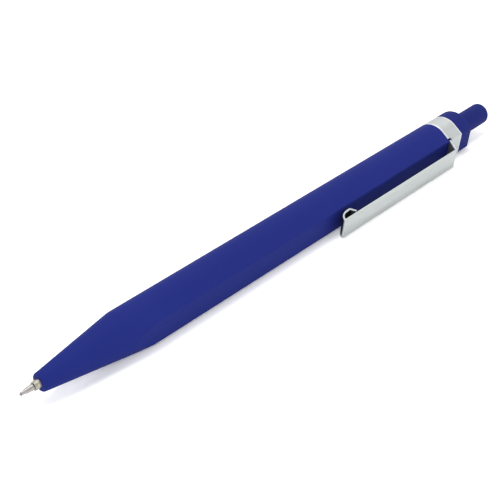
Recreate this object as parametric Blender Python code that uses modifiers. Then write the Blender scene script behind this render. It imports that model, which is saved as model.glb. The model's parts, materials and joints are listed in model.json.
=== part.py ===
"""Retractable ballpoint pen with a sheet-metal clip, lying as it would on a desk.

Every piece is drawn on the pen's own axis: x runs from the writing point to the
button, the clip faces -y, and z completes the frame. One empty carries the pieces.
It leans the pen until the round back and the clip's lower edge both touch the desk,
and it puts the origin on the desk under the middle of the pen. Units are metres.
"""
import math

import bmesh
import bpy
from mathutils import Matrix, Vector

# Clearances
SEAM_GAP = 0.0003           # between pieces that meet end to end
FIT_GAP = 0.00025           # round a piece that slides or presses into another
BALL_GAP = 0.00004          # round the writing ball

# Outside of the barrel: a round back and three flats, the middle one under the clip
BARREL_LENGTH = 0.1187      # nose rim to the tail seam
BARREL_RADIUS = 0.0046      # round back, and axis to each flat
FLAT_STEP = math.radians(60.0)
CORNER_ROUND = 0.00035
NOSE_RIM_RADIUS = 0.00185
NOSE_HALF_ANGLE = math.radians(8.1)
NOSE_EDGE_ROUND = 0.0004

# Walls, steps and lands inside the barrel
TAIL_WALL = 0.0006          # barrel wall round the end cap's spigot
SHOULDER_STEP = 0.0007      # ledge that the guide sleeve's flange sits on
NOSE_WALL = 0.0011
NOSE_LAND = 0.0052          # length of the hole that the collar runs in

# Band, clip and end cap
BAND_WIDTH = 0.0045
BAND_THICKNESS = 0.00055
CLIP_THICKNESS = 0.0005
CLIP_WIDTH = 0.0049
CLIP_STANDOFF = 0.00315     # clip's outer face above the flat
CLIP_LENGTH = 0.0427        # band's front edge to the clip's free end
CLIP_BEND = 0.0007
CLIP_FOLD = 0.0003
WEB_LEAN = math.radians(32.5)
GRIP_LENGTH = 0.0041        # free end to the crest of the folded grip
GRIP_CREST = 0.00065        # air between the crest and the flat
GRIP_SLOPE = math.radians(33.0)
GRIP_KNEE = 0.0004          # knee of the fold above the crest
KNEE_BEND = 0.0009
CREST_BEND = 0.00045
CAP_LENGTH = 0.00425
CAP_EDGE_ROUND = 0.0007
CAP_END_WALL = 0.00285
SPIGOT_WALL = 0.00055

# Button and click mechanism
BUTTON_REACH = 0.01165      # button outside the end cap, point out
BUTTON_EDGE_ROUND = 0.0009
BUTTON_CROWN = 0.00035
BUTTON_LIP = 0.000475       # flange that keeps the button in the cap
BUTTON_FLANGE = 0.001
BUTTON_WALL = 0.0007
BUTTON_ROOF = 0.0062
PRESS_STROKE = 0.0012       # past the latch, towards the point
RELEASE_STROKE = 0.0055     # back from the latch, point drawn in
SLEEVE_WALL = 0.0005
SLEEVE_FLANGE = 0.001
RIB_HEIGHT = 0.0005
RIB_SETBACK = 0.0022        # sleeve front to the ribs
GROOVE_ANGLE = math.radians(40.0)
LUG_ANGLE = math.radians(20.0)
LUG_COUNT = 4
LUG_LENGTH = 0.0016
LUG_SETBACK = 0.0004        # rotor's plain end to the lugs
SPLINE_LENGTH = 0.0007
SPLINE_SETBACK = 0.002      # rib front to the plunger's splines
TOOTH_COUNT = 8
TOOTH_DEPTH = 0.0005
ROTOR_STEM = 0.0065
ROTOR_PILOT = 0.003

# Refill
TIP_REACH = 0.0043          # point beyond the nose rim
BALL_RADIUS = 0.00025
TIP_LIP_RADIUS = 0.00036
TIP_WAIST_RADIUS = 0.00053
TIP_BASE_RADIUS = 0.0006
TIP_NIB = 0.0008            # parallel nib behind the ball
TIP_FLARE = 0.00055
TIP_LENGTH = 0.0027         # ball to the tip's shoulder
TIP_SHANK = 0.005
COLLAR_RADIUS = 0.0009
SOCKET_WALL = 0.00035
SOCKET_GRIP = 0.008         # socket inside the tube
TUBE_WALL = 0.0004
INK_FILL = 0.6              # share of the tube's free bore that ink takes up
FOLLOWER_LENGTH = 0.005
SPRING_WIRE = 0.0002        # wire radius
SPRING_LENGTH = 0.012
SPRING_TURNS = 9

# Facets
BACK_SIDES = 40             # steps along the round back
CORNER_SIDES = 4
FULL_SIDES = 60             # turned outsides, lined up with the back's steps
BORE_SIDES = 32
SMALL_SIDES = 20
BEND_SIDES = 6
TOOTH_SIDES = 4
TURN_POINTS = 9             # points on each turn of the spring
CUT_OVERRUN = 0.002         # cutters run past the faces they open

# Places along the axis, from the point backwards
nose_x = TIP_REACH
barrel_end = nose_x + BARREL_LENGTH
band_start = barrel_end + SEAM_GAP
band_end = band_start + BAND_WIDTH
cap_start = band_end + SEAM_GAP
cap_end = cap_start + CAP_LENGTH
pen_length = cap_end + BUTTON_REACH
end_wall = cap_end - CAP_END_WALL
flange_back = end_wall - SEAM_GAP - RELEASE_STROKE
flange_front = flange_back - BUTTON_FLANGE
sleeve_end = flange_front - PRESS_STROKE - SEAM_GAP
rib_length = SPLINE_SETBACK + SPLINE_LENGTH + RELEASE_STROKE + SEAM_GAP
rib_start = sleeve_end - rib_length
sleeve_start = rib_start - RIB_SETBACK
shoulder_x = sleeve_start - SEAM_GAP
spigot_front = sleeve_start + SLEEVE_FLANGE + SEAM_GAP
lug_back = rib_start - SEAM_GAP
lug_front = lug_back - LUG_LENGTH
rotor_teeth = rib_start
plunger_teeth = rotor_teeth + TOOTH_DEPTH + SEAM_GAP
spline_front = rib_start + SPLINE_SETBACK
stem_front = lug_front - ROTOR_STEM
tube_back = stem_front - SEAM_GAP
spring_seat = nose_x + NOSE_LAND
spring_start = spring_seat + SEAM_GAP
tube_front = spring_start + SPRING_LENGTH + SEAM_GAP
collar_front = TIP_LENGTH + SEAM_GAP
socket_back = tube_front + SOCKET_GRIP
ink_front = socket_back + SEAM_GAP
ink_back = ink_front + INK_FILL * (tube_back - ROTOR_PILOT - ink_front)
follower_front = ink_back + SEAM_GAP

# Radii, from the outside in at the tail and from the inside out at the nose
counterbore = BARREL_RADIUS - TAIL_WALL
main_bore = counterbore - SHOULDER_STEP
spigot_radius = counterbore - FIT_GAP
spigot_bore = spigot_radius - SPIGOT_WALL
sleeve_radius = spigot_bore - FIT_GAP
button_radius = sleeve_radius - BUTTON_LIP
button_bore = button_radius - BUTTON_WALL
groove_radius = sleeve_radius - SLEEVE_WALL
rib_radius = groove_radius - RIB_HEIGHT
relief_radius = groove_radius + SLEEVE_WALL / 4
flange_root = groove_radius + SLEEVE_WALL / 2      # inside the sleeve's wall
rotor_radius = rib_radius - FIT_GAP
lug_radius = groove_radius - FIT_GAP
key_root = rotor_radius / 2                        # keys and lugs start inside their rod
nose_hole = COLLAR_RADIUS + FIT_GAP
tube_bore = COLLAR_RADIUS + FIT_GAP
tube_radius = tube_bore + TUBE_WALL
spring_radius = tube_bore + SPRING_WIRE
spring_chamber = spring_radius + SPRING_WIRE + FIT_GAP
nose_slope = math.tan(NOSE_HALF_ANGLE)

# How the pen lies: the clip's lower outer edge comes down level with the round back
clip_face = BARREL_RADIUS + CLIP_STANDOFF
clip_edge = math.hypot(clip_face, CLIP_WIDTH / 2)
lean = math.asin(BARREL_RADIUS / clip_edge) - math.atan2(CLIP_WIDTH / 2, clip_face)
clip_side = clip_face * math.cos(lean) + CLIP_WIDTH / 2 * math.sin(lean)


# Scene set-up

def clear_scene():
    """Remove every object that the file opened with."""
    for item in list(bpy.data.objects):
        bpy.data.objects.remove(item, do_unlink=True)


def new_collection(name):
    """A collection linked to the scene."""
    group = bpy.data.collections.new(name)
    bpy.context.scene.collection.children.link(group)
    return group


def new_material(name, colour, roughness, metallic):
    """One Principled BSDF with the piece's own colour and finish."""
    material = bpy.data.materials.new(name)
    material.use_nodes = True
    shader = material.node_tree.nodes["Principled BSDF"]
    shader.inputs["Base Color"].default_value = (*colour, 1.0)
    shader.inputs["Roughness"].default_value = roughness
    shader.inputs["Metallic"].default_value = metallic
    return material


BLUE = (0.02, 0.03, 0.23)
STEEL = (0.62, 0.65, 0.64)

clear_scene()
pen_parts = new_collection("ballpoint_pen")
pen_cutters = new_collection("pen_cutters")
pen_axis = bpy.data.objects.new("pen_axis", None)
pen_parts.objects.link(pen_axis)
pen_axis.location = (-pen_length / 2, (clip_side - BARREL_RADIUS) / 2, BARREL_RADIUS)
pen_axis.rotation_euler = (lean, 0.0, 0.0)

ALONG_AXIS = (0.0, math.pi / 2, 0.0)   # turns a piece's own z onto the pen's x


# Building blocks

def add_piece(name, data, finish, location=(0, 0, 0), rotation=(0, 0, 0)):
    """Put a mesh or curve on the pen's axis as a named piece with its own material."""
    piece = bpy.data.objects.new(name, data)
    pen_parts.objects.link(piece)
    piece.parent = pen_axis
    piece.location = location
    piece.rotation_euler = rotation
    data.materials.append(new_material(name, *finish))
    return piece


def add_tool(name, data, location=(0, 0, 0), rotation=(0, 0, 0)):
    """Put a cutter or joining shape on the pen's axis, left out of the pen itself."""
    tool = bpy.data.objects.new(name, data)
    pen_cutters.objects.link(tool)
    tool.parent = pen_axis
    tool.location = location
    tool.rotation_euler = rotation
    tool.hide_render = True
    tool.display_type = "WIRE"
    return tool


def combine(piece, tool, operation):
    """Cut, join or intersect a piece with a tool shape."""
    modifier = piece.modifiers.new(tool.name, "BOOLEAN")
    modifier.operation = operation
    modifier.solver = "EXACT"
    modifier.object = tool


def arc(centre, radius, start, end, steps):
    """Points on a circular arc, both ends included."""
    angles = [start + (end - start) * k / steps for k in range(steps + 1)]
    return [(centre[0] + radius * math.cos(a), centre[1] + radius * math.sin(a)) for a in angles]


def circle(radius, sides):
    """A closed ring of points in the pen's y and z."""
    return arc((0.0, 0.0), radius, 0.0, 2 * math.pi, sides)[:-1]


def barrel_section(radius, rounding):
    """Barrel outline in y and z: round back, then the two rounded corners beside the clip flat."""
    outline = arc((0.0, 0.0), radius, math.pi + FLAT_STEP, 3 * math.pi - FLAT_STEP, BACK_SIDES)
    reach = (radius - rounding) / math.cos(FLAT_STEP / 2)
    for side in (-1, 1):
        middle = math.pi + side * FLAT_STEP / 2
        centre = (reach * math.cos(middle), reach * math.sin(middle))
        outline += arc(centre, rounding, middle - FLAT_STEP / 2, middle + FLAT_STEP / 2, CORNER_SIDES)
    return outline


def round_section(radius):
    """A circle with a point at the same bearing as each point of the barrel's outline."""
    bearings = [math.atan2(z, y) for y, z in barrel_section(BARREL_RADIUS, CORNER_ROUND)]
    return [(radius * math.cos(a), radius * math.sin(a)) for a in bearings]


def splined_circle(outer, inner, width):
    """A circle of radius inner with evenly spaced teeth of radius outer and angular width."""
    pitch = 2 * math.pi / LUG_COUNT
    outline = []
    for k in range(LUG_COUNT):
        middle = k * pitch
        outline += arc((0.0, 0.0), outer, middle - width / 2, middle + width / 2, BEND_SIDES)
        outline += arc((0.0, 0.0), inner, middle + width / 2, middle + pitch - width / 2, BEND_SIDES)
    return outline


def flat_curve(name, outlines, thickness):
    """A 2D curve filled between its outlines and extruded to a thickness."""
    curve = bpy.data.curves.new(name, "CURVE")
    curve.dimensions = "2D"
    curve.fill_mode = "BOTH"
    curve.extrude = thickness / 2
    for outline in outlines:
        spline = curve.splines.new("POLY")
        spline.points.add(len(outline) - 1)
        for point, (across, up) in zip(spline.points, outline):
            point.co = (across, up, 0.0, 1.0)
        spline.use_cyclic_u = True
    return curve


def prism_mesh(name, outlines, start, end):
    """Carry closed outlines in y and z along the axis from start to end, as a welded mesh."""
    turned_outlines = [[(-z, y) for y, z in outline] for outline in outlines]
    curve = flat_curve(name, turned_outlines, end - start)
    drawing = bpy.data.objects.new(name, curve)
    pen_cutters.objects.link(drawing)
    solid = bpy.data.meshes.new_from_object(drawing.evaluated_get(bpy.context.evaluated_depsgraph_get()))
    bpy.data.objects.remove(drawing)
    edit = bmesh.new()
    edit.from_mesh(solid)
    bmesh.ops.remove_doubles(edit, verts=edit.verts, dist=1e-7)
    bmesh.ops.translate(edit, verts=edit.verts, vec=(0.0, 0.0, (start + end) / 2))
    edit.to_mesh(solid)
    edit.free()
    solid.name = name
    return solid


def profile_mesh(name, profile, closed):
    """A turned piece's half outline, as (radius, x) pairs down its outer side."""
    edges = [(k, k + 1) for k in range(len(profile) - 1)]
    if closed:
        edges.append((len(profile) - 1, 0))
    mesh = bpy.data.meshes.new(name)
    mesh.from_pydata([(radius, 0.0, x) for radius, x in profile], edges, [])
    return mesh


def spin(piece, sides):
    """Turn a half outline once round the axis."""
    screw = piece.modifiers.new("turn", "SCREW")
    screw.axis = "Z"
    screw.angle = 2 * math.pi
    screw.steps = sides
    screw.render_steps = sides
    screw.use_merge_vertices = True
    screw.merge_threshold = 1e-6
    screw.use_smooth_shade = True


def turned_piece(name, profile, sides, finish, closed=False):
    """A named piece turned from a half outline."""
    piece = add_piece(name, profile_mesh(name, profile, closed), finish, rotation=ALONG_AXIS)
    spin(piece, sides)
    return piece


def turned_tool(name, profile, sides, closed=False):
    """A cutter or joining shape turned from a half outline."""
    tool = add_tool(name, profile_mesh(name, profile, closed), rotation=ALONG_AXIS)
    spin(tool, sides)
    return tool


def tube_profile(outer, inner, back, front):
    """Half outline of a plain tube."""
    return [(outer, back), (outer, front), (inner, front), (inner, back)]


def rod_profile(radius, back, front):
    """Half outline of a plain rod."""
    return [(0.0, back), (radius, back), (radius, front), (0.0, front)]


def toothed_rod_mesh(name, radius, teeth_x, plain_x):
    """A rod whose end at teeth_x is a ring of cam teeth."""
    sides = TOOTH_COUNT * TOOTH_SIDES
    edit = bmesh.new()
    length = abs(plain_x - teeth_x)
    bmesh.ops.create_cone(edit, cap_ends=True, cap_tris=True, segments=sides,
                          radius1=radius, radius2=radius, depth=length)
    bmesh.ops.translate(edit, verts=edit.verts, vec=(0.0, 0.0, (teeth_x + plain_x) / 2))
    for vertex in edit.verts:
        on_rim = math.hypot(vertex.co.x, vertex.co.y) > radius / 2
        if on_rim and abs(vertex.co.z - teeth_x) < length / 2:
            turn = math.atan2(vertex.co.y, vertex.co.x) / (2 * math.pi) * TOOTH_COUNT
            wave = abs(2 * (turn - math.floor(turn)) - 1)
            vertex.co.z += TOOTH_DEPTH * (wave - 0.5)
    mesh = bpy.data.meshes.new(name)
    edit.to_mesh(mesh)
    edit.free()
    return mesh


def lofted_mesh(name, rings):
    """Skin over rings of equal point count, given tail first, with a flat cap on each end."""
    edit = bmesh.new()
    rows = [[edit.verts.new((-z, y, x)) for y, z in points] for x, points in rings]
    count = len(rows[0])
    for row, following in zip(rows, rows[1:]):
        for k in range(count):
            after = (k + 1) % count
            edit.faces.new((row[k], following[k], following[after], row[after]))
    edit.faces.new(rows[0])
    edit.faces.new(reversed(rows[-1]))
    bmesh.ops.recalc_face_normals(edit, faces=edit.faces)
    mesh = bpy.data.meshes.new(name)
    edit.to_mesh(mesh)
    edit.free()
    return mesh


def rounded_path(corners):
    """An open path through (x, height, round) corners, each rounded by an arc."""
    path = [Vector(corners[0][:2])]
    for before, corner, after in zip(corners, corners[1:], corners[2:]):
        here = Vector(corner[:2])
        back = (Vector(before[:2]) - here).normalized()
        ahead = (Vector(after[:2]) - here).normalized()
        half = back.angle(ahead) / 2
        setback = corner[2] / math.tan(half)
        centre = here + (back + ahead).normalized() * corner[2] / math.sin(half)
        start = here + back * setback - centre
        sweep = start.angle_signed(here + ahead * setback - centre)
        for k in range(BEND_SIDES + 1):
            path.append(centre + Matrix.Rotation(-sweep * k / BEND_SIDES, 2) @ start)
    path.append(Vector(corners[-1][:2]))
    return path


def ribbon(path, thickness):
    """Closed outline of sheet metal that follows a path."""
    one_side = []
    other_side = []
    for k, point in enumerate(path):
        run = (path[min(k + 1, len(path) - 1)] - path[max(k - 1, 0)]).normalized()
        across = Vector((-run.y, run.x)) * thickness / 2
        one_side.append(point + across)
        other_side.append(point - across)
    return one_side + other_side[::-1]


# Barrel, end cap and metalwork

BLUE_PLASTIC = (BLUE, 0.42, 0.0)
SATIN_METAL = (STEEL, 0.3, 1.0)
WHITE_PLASTIC = ((0.8, 0.8, 0.78), 0.5, 0.0)


def make_barrel():
    """The section carried from nose to tail, pointed by a cone and bored through."""
    outline = barrel_section(BARREL_RADIUS, CORNER_ROUND)
    barrel = add_piece("barrel", prism_mesh("barrel", [outline], nose_x - CUT_OVERRUN, barrel_end),
                       BLUE_PLASTIC, rotation=ALONG_AXIS)
    wide = 2 * BARREL_RADIUS
    rim_turn = math.pi / 2 - NOSE_HALF_ANGLE
    round_radius = NOSE_RIM_RADIUS - NOSE_EDGE_ROUND * math.tan(rim_turn / 2)
    edge = arc((round_radius, nose_x + NOSE_EDGE_ROUND), NOSE_EDGE_ROUND,
               -NOSE_HALF_ANGLE, -math.pi / 2, CORNER_SIDES)
    cone_back = nose_x + (wide - NOSE_RIM_RADIUS) / nose_slope
    envelope = [(0.0, barrel_end + CUT_OVERRUN), (wide, barrel_end + CUT_OVERRUN), (wide, cone_back)]
    combine(barrel, turned_tool("nose_envelope", envelope + edge + [(0.0, nose_x)], FULL_SIDES),
            "INTERSECT")
    taper_front = nose_x + (spring_chamber + NOSE_WALL - NOSE_RIM_RADIUS) / nose_slope
    taper_front = max(taper_front, spring_seat + SEAM_GAP)
    taper_back = taper_front + (main_bore - spring_chamber) / nose_slope
    bore = [(0.0, barrel_end + CUT_OVERRUN), (counterbore, barrel_end + CUT_OVERRUN),
            (counterbore, shoulder_x), (main_bore, shoulder_x), (main_bore, taper_back),
            (spring_chamber, taper_front), (spring_chamber, spring_seat), (nose_hole, spring_seat),
            (nose_hole, nose_x - CUT_OVERRUN), (0.0, nose_x - CUT_OVERRUN)]
    combine(barrel, turned_tool("barrel_bore", bore, BORE_SIDES), "DIFFERENCE")


def make_end_cap():
    """A cap with the barrel's section, a keyed neck for the band and a spigot for the barrel."""
    rings = []
    least_round = CORNER_ROUND / 4
    for k in range(CORNER_SIDES + 1):
        turn = math.pi / 2 * k / CORNER_SIDES
        inset = CAP_EDGE_ROUND * (1 - math.sin(turn))
        rounding = max(CORNER_ROUND - inset, least_round)
        rings.append((cap_end - CAP_EDGE_ROUND * (1 - math.cos(turn)),
                      barrel_section(BARREL_RADIUS - inset, rounding)))
    neck = barrel_section(spigot_radius, CORNER_ROUND)
    spigot = round_section(spigot_radius)
    rings += [(cap_start, barrel_section(BARREL_RADIUS, CORNER_ROUND)), (cap_start, neck),
              (band_start, neck), (band_start, spigot), (spigot_front, spigot)]
    cap = add_piece("end_cap", lofted_mesh("end_cap", rings), BLUE_PLASTIC, rotation=ALONG_AXIS)
    hole = button_radius + FIT_GAP
    bore = [(0.0, cap_end + CUT_OVERRUN), (hole, cap_end + CUT_OVERRUN), (hole, end_wall),
            (spigot_bore, end_wall), (spigot_bore, spigot_front - CUT_OVERRUN),
            (0.0, spigot_front - CUT_OVERRUN)]
    combine(cap, turned_tool("cap_bore", bore, BORE_SIDES), "DIFFERENCE")


def make_clip_band():
    """The flush metal band round the end cap's neck."""
    outer = barrel_section(BARREL_RADIUS, CORNER_ROUND)
    inner = barrel_section(BARREL_RADIUS - BAND_THICKNESS, CORNER_ROUND)
    add_piece("clip_band", prism_mesh("clip_band", [outer, inner], band_start, band_end),
              SATIN_METAL, rotation=ALONG_AXIS)


def make_clip_arm():
    """The clip's web, flat arm and folded grip, one ribbon of sheet with its origin on the flex line."""
    middle = CLIP_STANDOFF - CLIP_THICKNESS / 2
    foot = SEAM_GAP + CLIP_THICKNESS / 2 * math.sin(WEB_LEAN)
    bend_x = band_start - (middle - foot) * math.tan(WEB_LEAN)
    free_x = band_start - CLIP_LENGTH
    fold_x = free_x + CLIP_THICKNESS / 2 + CLIP_FOLD - CLIP_FOLD / math.tan(GRIP_SLOPE / 2)
    crest_x = free_x + GRIP_LENGTH
    crest = GRIP_CREST + CLIP_THICKNESS / 2
    knee = crest + GRIP_KNEE
    knee_x = fold_x + (middle - knee) / math.tan(GRIP_SLOPE)
    grip_end = middle - CLIP_THICKNESS / 2 - SEAM_GAP
    corners = [(band_start, foot), (bend_x, middle, CLIP_BEND), (fold_x, middle, CLIP_FOLD),
               (knee_x, knee, KNEE_BEND), (crest_x, crest, CREST_BEND),
               (crest_x + CLIP_THICKNESS / 2, grip_end)]
    flex_x = band_start
    flex_y = -(BARREL_RADIUS + foot)
    outline = [(x - flex_x, -(BARREL_RADIUS + height) - flex_y)
               for x, height in ribbon(rounded_path(corners), CLIP_THICKNESS)]
    add_piece("clip_arm", flat_curve("clip_arm", [outline], CLIP_WIDTH), SATIN_METAL,
              location=(flex_x, flex_y, 0.0))


# Click mechanism

def make_push_button():
    """The button, with a domed end, a stop flange inside the cap and a blind bore."""
    crown_x = pen_length - BUTTON_CROWN
    edge_x = crown_x - BUTTON_EDGE_ROUND
    rim_centre = (button_radius - BUTTON_EDGE_ROUND, edge_x)
    rim = arc(rim_centre, BUTTON_EDGE_ROUND, math.pi / 2, 0.0, CORNER_SIDES)
    bore_end = pen_length - BUTTON_ROOF
    profile = [(0.0, pen_length)] + rim
    profile += [(button_radius, flange_back), (sleeve_radius, flange_back), (sleeve_radius, flange_front),
                (button_bore, flange_front), (button_bore, bore_end), (0.0, bore_end)]
    turned_piece("push_button", profile, BORE_SIDES, BLUE_PLASTIC)


def make_plunger_cam():
    """The toothed plunger under the button, keyed into the guide's grooves."""
    body_back = flange_front - SEAM_GAP
    plunger = add_piece("plunger_cam",
                        toothed_rod_mesh("plunger_cam", rotor_radius, plunger_teeth, body_back),
                        WHITE_PLASTIC, rotation=ALONG_AXIS)
    keys = splined_circle(lug_radius, key_root, LUG_ANGLE)
    key_mesh = prism_mesh("plunger_keys", [keys], spline_front, spline_front + SPLINE_LENGTH)
    combine(plunger, add_tool("plunger_keys", key_mesh, rotation=ALONG_AXIS), "UNION")
    stem_back = pen_length - BUTTON_ROOF - SEAM_GAP
    stem = rod_profile(button_bore - FIT_GAP, stem_back, body_back - CUT_OVERRUN)
    combine(plunger, turned_tool("plunger_stem", stem, SMALL_SIDES), "UNION")


def make_rotor_cam():
    """The indexing rotor, whose lugs stand just in front of the guide's grooves."""
    rotor = add_piece("rotor_cam", toothed_rod_mesh("rotor_cam", rotor_radius, rotor_teeth, lug_front),
                      WHITE_PLASTIC, rotation=ALONG_AXIS)
    lugs = splined_circle(lug_radius, key_root, LUG_ANGLE)
    lug_mesh = prism_mesh("rotor_lugs", [lugs], lug_front + LUG_SETBACK, lug_back)
    combine(rotor, add_tool("rotor_lugs", lug_mesh, rotation=ALONG_AXIS), "UNION")
    stem_back = lug_back - LUG_SETBACK
    pilot_radius = tube_bore - FIT_GAP
    pilot_front = stem_front - ROTOR_PILOT
    stem = [(0.0, stem_back), (tube_radius, stem_back), (tube_radius, stem_front),
            (pilot_radius, stem_front), (pilot_radius, pilot_front), (0.0, pilot_front)]
    combine(rotor, turned_tool("rotor_stem", stem, SMALL_SIDES), "UNION")


def make_guide_sleeve():
    """The ribbed sleeve in the spigot, held by its flange against the barrel's shoulder."""
    grooves = splined_circle(groove_radius, rib_radius, GROOVE_ANGLE)
    outside = circle(sleeve_radius, BORE_SIDES)
    ribbed = prism_mesh("guide_sleeve", [outside, grooves], sleeve_start + SLEEVE_FLANGE / 2, sleeve_end)
    sleeve = add_piece("guide_sleeve", ribbed, WHITE_PLASTIC, rotation=ALONG_AXIS)
    relief = rod_profile(relief_radius, rib_start, sleeve_start - CUT_OVERRUN)
    combine(sleeve, turned_tool("rib_relief", relief, BORE_SIDES), "DIFFERENCE")
    flange = tube_profile(spigot_radius, flange_root, sleeve_start + SLEEVE_FLANGE, sleeve_start)
    combine(sleeve, turned_tool("sleeve_flange", flange, BORE_SIDES, closed=True), "UNION")


def make_return_spring():
    """The coil spring between the nose ledge and the refill tube."""
    count = SPRING_TURNS * TURN_POINTS
    travel = SPRING_LENGTH - 2 * SPRING_WIRE
    points = []
    for k in range(count + 1):
        turn = 2 * math.pi * k / TURN_POINTS
        points.append(Vector((spring_start + SPRING_WIRE + travel * k / count,
                              spring_radius * math.cos(turn), spring_radius * math.sin(turn))))
    curve = bpy.data.curves.new("return_spring", "CURVE")
    curve.dimensions = "3D"
    curve.bevel_depth = SPRING_WIRE
    curve.bevel_resolution = 1
    curve.use_fill_caps = True
    spline = curve.splines.new("POLY")
    spline.points.add(count)
    for slot, point in zip(spline.points, points):
        slot.co = (*point, 1.0)
    add_piece("return_spring", curve, (STEEL, 0.25, 1.0))
    half_turn = TURN_POINTS // 2
    least = min((points[i] - points[j]).length
                for i in range(count) for j in range(i + half_turn, count))
    print("return_spring least gap to itself, mm:", round((least - 2 * SPRING_WIRE) * 1000, 3))


# Refill

def make_refill():
    """Tube, ink, follower, socket, tip and ball, from the inside of the pen forwards."""
    turned_piece("refill_tube", tube_profile(tube_radius, tube_bore, tube_back, tube_front), SMALL_SIDES,
                 ((0.75, 0.78, 0.8), 0.35, 0.0), closed=True)
    fill_radius = tube_bore - FIT_GAP
    turned_piece("ink_column", rod_profile(fill_radius, ink_back, ink_front), SMALL_SIDES,
                 ((0.004, 0.008, 0.12), 0.3, 0.0))
    turned_piece("ink_follower", rod_profile(fill_radius, follower_front + FOLLOWER_LENGTH, follower_front),
                 SMALL_SIDES, ((0.7, 0.66, 0.5), 0.3, 0.0))
    socket = tube_profile(COLLAR_RADIUS, COLLAR_RADIUS - SOCKET_WALL, socket_back, collar_front)
    turned_piece("tip_socket", socket, SMALL_SIDES, ((0.66, 0.6, 0.5), 0.35, 1.0), closed=True)
    shank = COLLAR_RADIUS - SOCKET_WALL - FIT_GAP
    pocket = BALL_RADIUS + BALL_GAP
    flare_x = TIP_NIB + TIP_FLARE
    tip = [(0.0, TIP_LENGTH + TIP_SHANK), (shank, TIP_LENGTH + TIP_SHANK), (shank, TIP_LENGTH),
           (TIP_BASE_RADIUS, TIP_LENGTH), (TIP_WAIST_RADIUS, flare_x), (TIP_LIP_RADIUS, TIP_NIB),
           (TIP_LIP_RADIUS, BALL_RADIUS), (pocket, BALL_RADIUS),
           (pocket, 2 * BALL_RADIUS + BALL_GAP), (0.0, 2 * BALL_RADIUS + pocket)]
    turned_piece("writing_tip", tip, SMALL_SIDES, (STEEL, 0.22, 1.0))
    sphere = bmesh.new()
    bmesh.ops.create_uvsphere(sphere, u_segments=SMALL_SIDES, v_segments=BEND_SIDES * 2, radius=BALL_RADIUS)
    ball = bpy.data.meshes.new("tip_ball")
    sphere.to_mesh(ball)
    sphere.free()
    ball.shade_smooth()
    add_piece("tip_ball", ball, (STEEL, 0.15, 1.0), location=(BALL_RADIUS, 0.0, 0.0))


make_barrel()
make_end_cap()
make_clip_band()
make_clip_arm()
make_push_button()
make_plunger_cam()
make_rotor_cam()
make_guide_sleeve()
make_return_spring()
make_refill()
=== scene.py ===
"""Looks of a click ballpoint pen: fine surfaces, finishes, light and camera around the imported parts.

Surfaces are worked out in millimetres on the pen's own axis: x runs from the writing point to
the button, the clip faces -y and z completes the frame. place() turns them into the frame's metres.
Bores, holes and other round shapes are given by their radius.
"""
import json
import math

import bmesh
import bpy
import numpy as np
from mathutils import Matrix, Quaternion, Vector


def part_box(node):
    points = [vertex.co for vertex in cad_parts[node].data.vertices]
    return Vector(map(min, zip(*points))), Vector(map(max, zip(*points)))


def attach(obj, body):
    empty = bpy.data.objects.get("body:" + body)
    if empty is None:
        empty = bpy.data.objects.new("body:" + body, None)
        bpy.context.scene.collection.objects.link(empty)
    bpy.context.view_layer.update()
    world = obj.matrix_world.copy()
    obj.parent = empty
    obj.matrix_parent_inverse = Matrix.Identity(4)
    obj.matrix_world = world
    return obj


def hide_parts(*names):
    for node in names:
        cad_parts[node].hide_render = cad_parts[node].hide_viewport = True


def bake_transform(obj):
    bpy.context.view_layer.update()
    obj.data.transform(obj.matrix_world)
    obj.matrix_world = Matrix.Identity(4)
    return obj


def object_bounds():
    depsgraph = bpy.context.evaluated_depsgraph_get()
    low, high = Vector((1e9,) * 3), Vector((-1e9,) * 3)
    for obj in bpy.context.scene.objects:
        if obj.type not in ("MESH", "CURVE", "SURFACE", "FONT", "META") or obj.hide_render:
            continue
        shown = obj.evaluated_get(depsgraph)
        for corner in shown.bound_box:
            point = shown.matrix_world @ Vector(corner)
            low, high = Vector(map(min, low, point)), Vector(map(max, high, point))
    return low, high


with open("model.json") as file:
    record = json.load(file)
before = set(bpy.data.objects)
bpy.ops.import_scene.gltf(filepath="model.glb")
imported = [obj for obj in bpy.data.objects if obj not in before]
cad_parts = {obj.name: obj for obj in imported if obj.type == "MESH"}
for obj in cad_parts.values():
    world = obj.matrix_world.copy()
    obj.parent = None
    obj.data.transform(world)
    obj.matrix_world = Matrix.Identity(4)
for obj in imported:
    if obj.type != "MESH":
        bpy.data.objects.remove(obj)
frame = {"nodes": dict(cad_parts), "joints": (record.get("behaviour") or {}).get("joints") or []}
cad_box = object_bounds()

MM = 0.001
MERGE = 1e-7                 # metres; closes seams and poles

# The pen's axis from the rotor's joint, and its lean from the clip's
joints = {joint["name"]: joint for joint in frame["joints"]}
axis_place = joints["rotor_turn"]["pos_m"]
flex_axis = joints["clip_flex"]["axis"]
lean = math.atan2(-flex_axis[1], flex_axis[2])
point_x = cad_box[0].x


def place(x, y, z):
    """Pen millimetres to frame metres: lean about the axis, lift to its height, slide to the point."""
    x, y, z = np.broadcast_arrays(x, y, z)
    across = y * math.cos(lean) - z * math.sin(lean)
    up = y * math.sin(lean) + z * math.cos(lean)
    return np.stack((point_x + x * MM, axis_place[1] + across * MM, axis_place[2] + up * MM), axis=-1)


def span(node):
    """Start and end of a node along the pen, in millimetres from the writing point."""
    low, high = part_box(node)
    return (low.x - point_x) / MM, (high.x - point_x) / MM


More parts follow.
